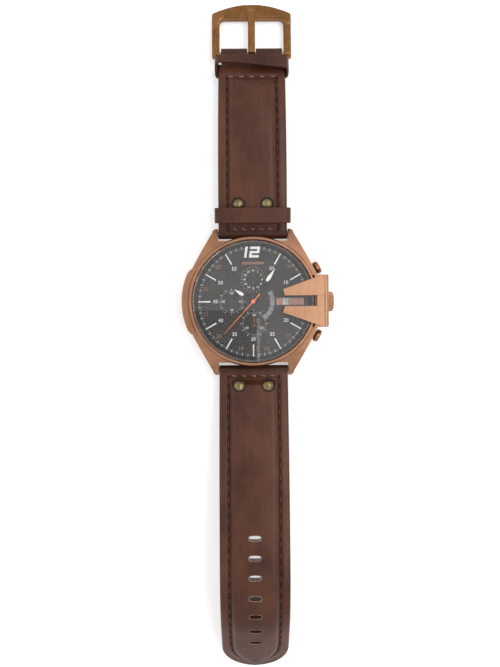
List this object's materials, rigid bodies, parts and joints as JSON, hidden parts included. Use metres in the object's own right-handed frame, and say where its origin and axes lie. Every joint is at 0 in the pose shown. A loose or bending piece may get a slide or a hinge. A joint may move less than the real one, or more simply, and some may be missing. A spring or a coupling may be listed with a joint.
{
  "type": "chronograph wristwatch",
  "caption": "Large round chronograph wristwatch with clawed crown guard, push buttons, sub-dials and a riveted padded leather strap with pin buckle.",
  "frame": {"origin": "centre of the case back's outer face, which rests on the table", "axes": "+Z towards the dial, +Y towards 12 o'clock and along the strap, +X towards the crown"},
  "size_m": [0.0565, 0.2521, 0.021],
  "materials": {
    "case_metal": "brushed, rose-gold plated",
    "guard_metal": "fine brushed, rose-gold plated",
    "crown_metal": "satin, rose-gold plated",
    "back_steel": "brushed",
    "steel": "plain",
    "spring_steel": "bright",
    "gasket_rubber": "matte",
    "crystal_glass": "polished mineral glass",
    "flange_black": "satin black",
    "dial_grey": "dark grey, sunburst brushed",
    "marker_white": "white",
    "copper_trim": "copper",
    "date_white": "matte",
    "holder_plastic": "white",
    "plate_nickel": "nickel plated",
    "board_green": "solder mask",
    "cell_steel": "bright",
    "coil_copper": "enamelled copper",
    "magnet": "sintered",
    "wheel_brass": "gilt",
    "hand_white": "luminous white on dark",
    "hand_orange": "orange",
    "hand_copper": "dark copper",
    "strap_leather": "oiled brown",
    "keeper_leather": "oiled dark brown",
    "rivet_brass": "antique",
    "buckle_bronze": "antique bronze"
  },
  "bodies": {
    "case": {"battery": "cell_steel", "battery_clamp": "spring_steel", "bezel": "case_metal", "case_back": "back_steel", "case_back_gasket": "gasket_rubber", "case_back_screws": "steel", "case_middle": "case_metal", "circuit_board": "board_green", "crown_guard_bridge": "guard_metal", "crown_guard_lower": "guard_metal", "crown_guard_upper": "guard_metal", "crown_tube": "steel", "crystal": "crystal_glass", "crystal_gasket": "gasket_rubber", "date_strip": "copper_trim", "dial": "dial_grey", "guard_fasteners": "steel", "hour_markers": "marker_white", "inner_flange": "flange_black", "mainplate": "plate_nickel", "motor_coil": "coil_copper", "motor_stator": "steel", "movement_holder": "holder_plastic", "numeral_twelve": "marker_white", "pusher_lower_spring": "spring_steel", "pusher_tubes": "steel", "pusher_upper_spring": "spring_steel", "spring_bars": "steel", "train_bridge": "plate_nickel"},
    "strap_upper": {"strap_upper": "strap_leather", "rivets_upper": "rivet_brass", "keeper_fixed": "keeper_leather"},
    "keeper_free": {"keeper_free": "keeper_leather"},
    "buckle": {"buckle_frame": "buckle_bronze", "buckle_bar": "steel"},
    "tongue": {"buckle_tongue": "buckle_bronze"},
    "strap_lower": {"strap_lower": "strap_leather", "rivets_lower": "rivet_brass"},
    "setting_lever": {"setting_lever": "steel"},
    "crown": {"crown": "crown_metal", "stem": "steel", "sliding_pinion": "steel"},
    "pusher_upper": {"pusher_upper": "crown_metal"},
    "pusher_lower": {"pusher_lower": "crown_metal"},
    "minute_hand": {"minute_hand": "hand_white", "cannon_pinion": "wheel_brass"},
    "minute_wheel": {"minute_wheel": "wheel_brass"},
    "hour_hand": {"hour_hand": "hand_white", "hour_wheel": "wheel_brass"},
    "day_hand": {"day_wheel": "wheel_brass", "register_hand_twelve": "hand_copper"},
    "seconds_hand": {"seconds_wheel": "wheel_brass", "seconds_hand": "hand_orange"},
    "intermediate": {"intermediate_wheel": "wheel_brass"},
    "rotor": {"motor_rotor": "magnet"},
    "counter_nine": {"counter_wheel_nine": "wheel_brass", "register_hand_nine": "hand_copper"},
    "counter_six": {"counter_wheel_six": "wheel_brass", "register_hand_six": "hand_copper"},
    "date_ring": {"date_ring": "date_white"}
  },
  "joints": [
    {"name": "minute_hand_spin", "type": "hinge", "parent": "case", "child": "minute_hand", "pos_m": [0, 0, 0.0065], "axis": [0, 0, -1], "continuous": true},
    {"name": "minute_wheel_spin", "type": "hinge", "parent": "case", "child": "minute_wheel", "pos_m": [0.00211, 0.00258, 0.0065], "axis": [0, 0, -1], "continuous": true},
    {"name": "hour_hand_spin", "type": "hinge", "parent": "case", "child": "hour_hand", "pos_m": [0, 0, 0.0065], "axis": [0, 0, -1], "continuous": true},
    {"name": "day_hand_spin", "type": "hinge", "parent": "case", "child": "day_hand", "pos_m": [0, 0.0082, 0.0065], "axis": [0, 0, -1], "continuous": true},
    {"name": "seconds_hand_spin", "type": "hinge", "parent": "case", "child": "seconds_hand", "pos_m": [0, 0, 0.0065], "axis": [0, 0, -1], "continuous": true},
    {"name": "intermediate_spin", "type": "hinge", "parent": "case", "child": "intermediate", "pos_m": [-0.00338, -0.00123, 0.0038], "axis": [0, 0, -1], "continuous": true},
    {"name": "rotor_spin", "type": "hinge", "parent": "case", "child": "rotor", "pos_m": [-0.00434, -0.00386, 0.0038], "axis": [0, 0, -1], "continuous": true},
    {"name": "counter_nine_spin", "type": "hinge", "parent": "case", "child": "counter_nine", "pos_m": [-0.008, 0, 0.0065], "axis": [0, 0, -1], "continuous": true},
    {"name": "counter_six_spin", "type": "hinge", "parent": "case", "child": "counter_six", "pos_m": [0.0003, -0.0082, 0.0065], "axis": [0, 0, -1], "continuous": true},
    {"name": "date_ring_spin", "type": "hinge", "parent": "case", "child": "date_ring", "pos_m": [0, 0, 0.00745], "axis": [0, 0, -1], "continuous": true},
    {"name": "crown_pull", "type": "slide", "parent": "case", "child": "setting_lever", "axis": [1, 0, 0], "range_m": [0, 0.0012]},
    {"name": "crown_turn", "type": "hinge", "parent": "setting_lever", "child": "crown", "pos_m": [0.028, 0, 0.0054], "axis": [1, 0, 0], "continuous": true},
    {"name": "pusher_upper_press", "type": "slide", "parent": "case", "child": "pusher_upper", "axis": [-0.8829, -0.4695, 0], "range_m": [0, 0.001], "stiffness_N_per_m": 800, "springref_m": -0.0005, "deforming": ["pusher_upper_spring"]},
    {"name": "pusher_lower_press", "type": "slide", "parent": "case", "child": "pusher_lower", "axis": [-0.8829, 0.4695, 0], "range_m": [0, 0.001], "stiffness_N_per_m": 800, "springref_m": -0.0005, "deforming": ["pusher_lower_spring"]},
    {"name": "strap_upper_hinge", "type": "hinge", "parent": "case", "child": "strap_upper", "pos_m": [0, 0.0257, 0.0042], "axis": [1, 0, 0], "range_deg": [-75, 20]},
    {"name": "strap_lower_hinge", "type": "hinge", "parent": "case", "child": "strap_lower", "pos_m": [0, -0.0257, 0.0042], "axis": [-1, 0, 0], "range_deg": [-75, 20]},
    {"name": "buckle_frame_hinge", "type": "hinge", "parent": "strap_upper", "child": "buckle", "pos_m": [0, 0.0941, 0.003], "axis": [1, 0, 0], "range_deg": [-60, 20]},
    {"name": "buckle_tongue_hinge", "type": "hinge", "parent": "buckle", "child": "tongue", "pos_m": [0, 0.0941, 0.003], "axis": [1, 0, 0], "range_deg": [0, 60]},
    {"name": "keeper_slide", "type": "hinge", "parent": "strap_upper", "child": "keeper_free", "pos_m": [0, 0.0573, -0.14448], "axis": [-1, 0, 0], "range_deg": [-0.6, 18.4]}
  ],
  "couplings": [
    {"joint": "minute_wheel_spin", "follows": "minute_hand_spin", "ratio": -0.33333},
    {"joint": "hour_hand_spin", "follows": "minute_hand_spin", "ratio": 0.083333},
    {"joint": "day_hand_spin", "follows": "minute_hand_spin", "ratio": 0.041667},
    {"joint": "intermediate_spin", "follows": "seconds_hand_spin", "ratio": -5},
    {"joint": "rotor_spin", "follows": "seconds_hand_spin", "ratio": 30}
  ]
}
